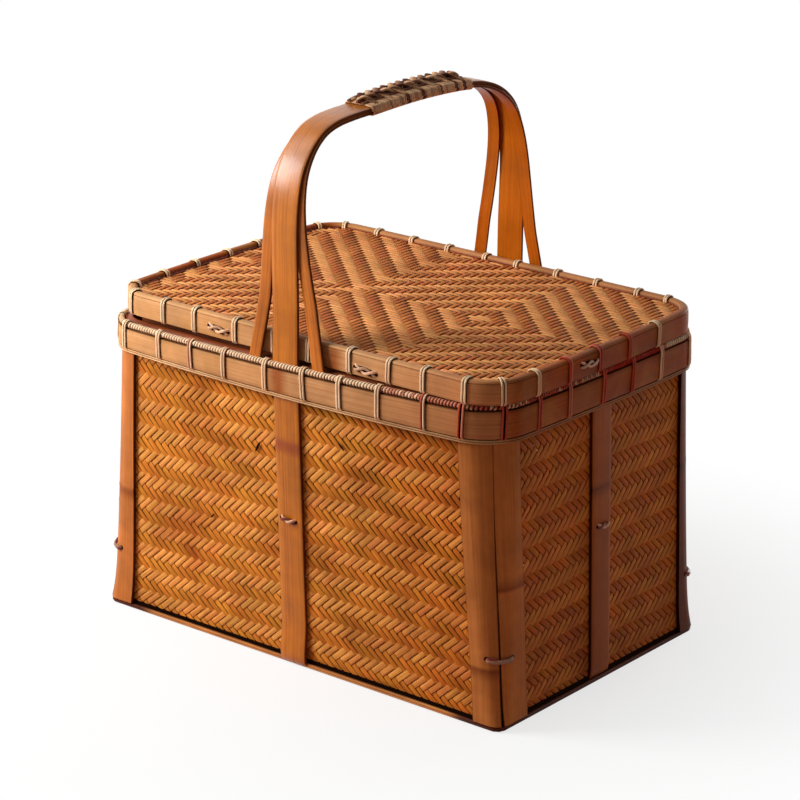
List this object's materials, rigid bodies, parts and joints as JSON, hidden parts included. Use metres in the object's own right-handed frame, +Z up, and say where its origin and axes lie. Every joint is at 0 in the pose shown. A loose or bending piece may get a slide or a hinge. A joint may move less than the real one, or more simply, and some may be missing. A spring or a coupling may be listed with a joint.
{
  "type": "lidded bamboo basket",
  "caption": "Rectangular woven bamboo basket with a bound rim, corner slats, a fixed arch handle with a wound grip and a lift-off woven lid.",
  "frame": {"origin": "middle of the base, on the plane the basket stands on", "axes": "+Z up, X along the long front, front face towards -Y"},
  "size_m": [0.3574, 0.2608, 0.3908],
  "materials": {
    "woven_bamboo": "satin",
    "slat_bamboo": "satin",
    "handle_bamboo": "satin",
    "hoop_bamboo": "satin",
    "dark_bamboo": "satin",
    "rattan_cane": "satin",
    "dark_rattan": "satin"
  },
  "bodies": {
    "basket": {"back_centre_tie": "dark_rattan", "base_batten_left": "slat_bamboo", "base_batten_right": "slat_bamboo", "base_edge_strip_back": "dark_bamboo", "base_edge_strip_front": "dark_bamboo", "base_edge_strip_left": "dark_bamboo", "base_edge_strip_right": "dark_bamboo", "corner_back_left_slat_back": "slat_bamboo", "corner_back_left_slat_side": "slat_bamboo", "corner_back_left_tie": "dark_rattan", "corner_back_right_slat_back": "slat_bamboo", "corner_back_right_slat_side": "slat_bamboo", "corner_back_right_tie": "dark_rattan", "corner_front_left_slat_front": "slat_bamboo", "corner_front_left_slat_side": "slat_bamboo", "corner_front_left_tie": "dark_rattan", "corner_front_right_slat_front": "slat_bamboo", "corner_front_right_slat_side": "slat_bamboo", "corner_front_right_tie": "dark_rattan", "front_centre_tie": "dark_rattan", "grip_braid_ridge": "dark_rattan", "grip_winding": "rattan_cane", "handle_left_brace": "handle_bamboo", "handle_main_strip": "handle_bamboo", "handle_right_brace": "handle_bamboo", "inner_rim_hoop": "dark_bamboo", "left_centre_slat": "slat_bamboo", "left_centre_tie": "dark_rattan", "outer_rim_hoop": "hoop_bamboo", "right_centre_slat": "slat_bamboo", "right_centre_tie": "dark_rattan", "rim_lower_strip": "hoop_bamboo", "rim_rattan_binding": "rattan_cane", "woven_body": "woven_bamboo"},
    "lid": {"lid_batten_centre": "slat_bamboo", "lid_batten_left": "slat_bamboo", "lid_batten_right": "slat_bamboo", "lid_edge_filler": "hoop_bamboo", "lid_front_left_tie": "dark_rattan", "lid_front_right_tie": "dark_rattan", "lid_inner_hoop": "dark_bamboo", "lid_locating_hoop": "dark_bamboo", "lid_outer_hoop": "hoop_bamboo", "lid_panel": "woven_bamboo", "lid_rattan_binding": "rattan_cane", "lid_right_tie": "dark_rattan"}
  },
  "joints": [
    {"name": "lid_lift", "type": "slide", "parent": "basket", "child": "lid", "axis": [0, 0, 1], "range_m": [0, 0.068]}
  ]
}
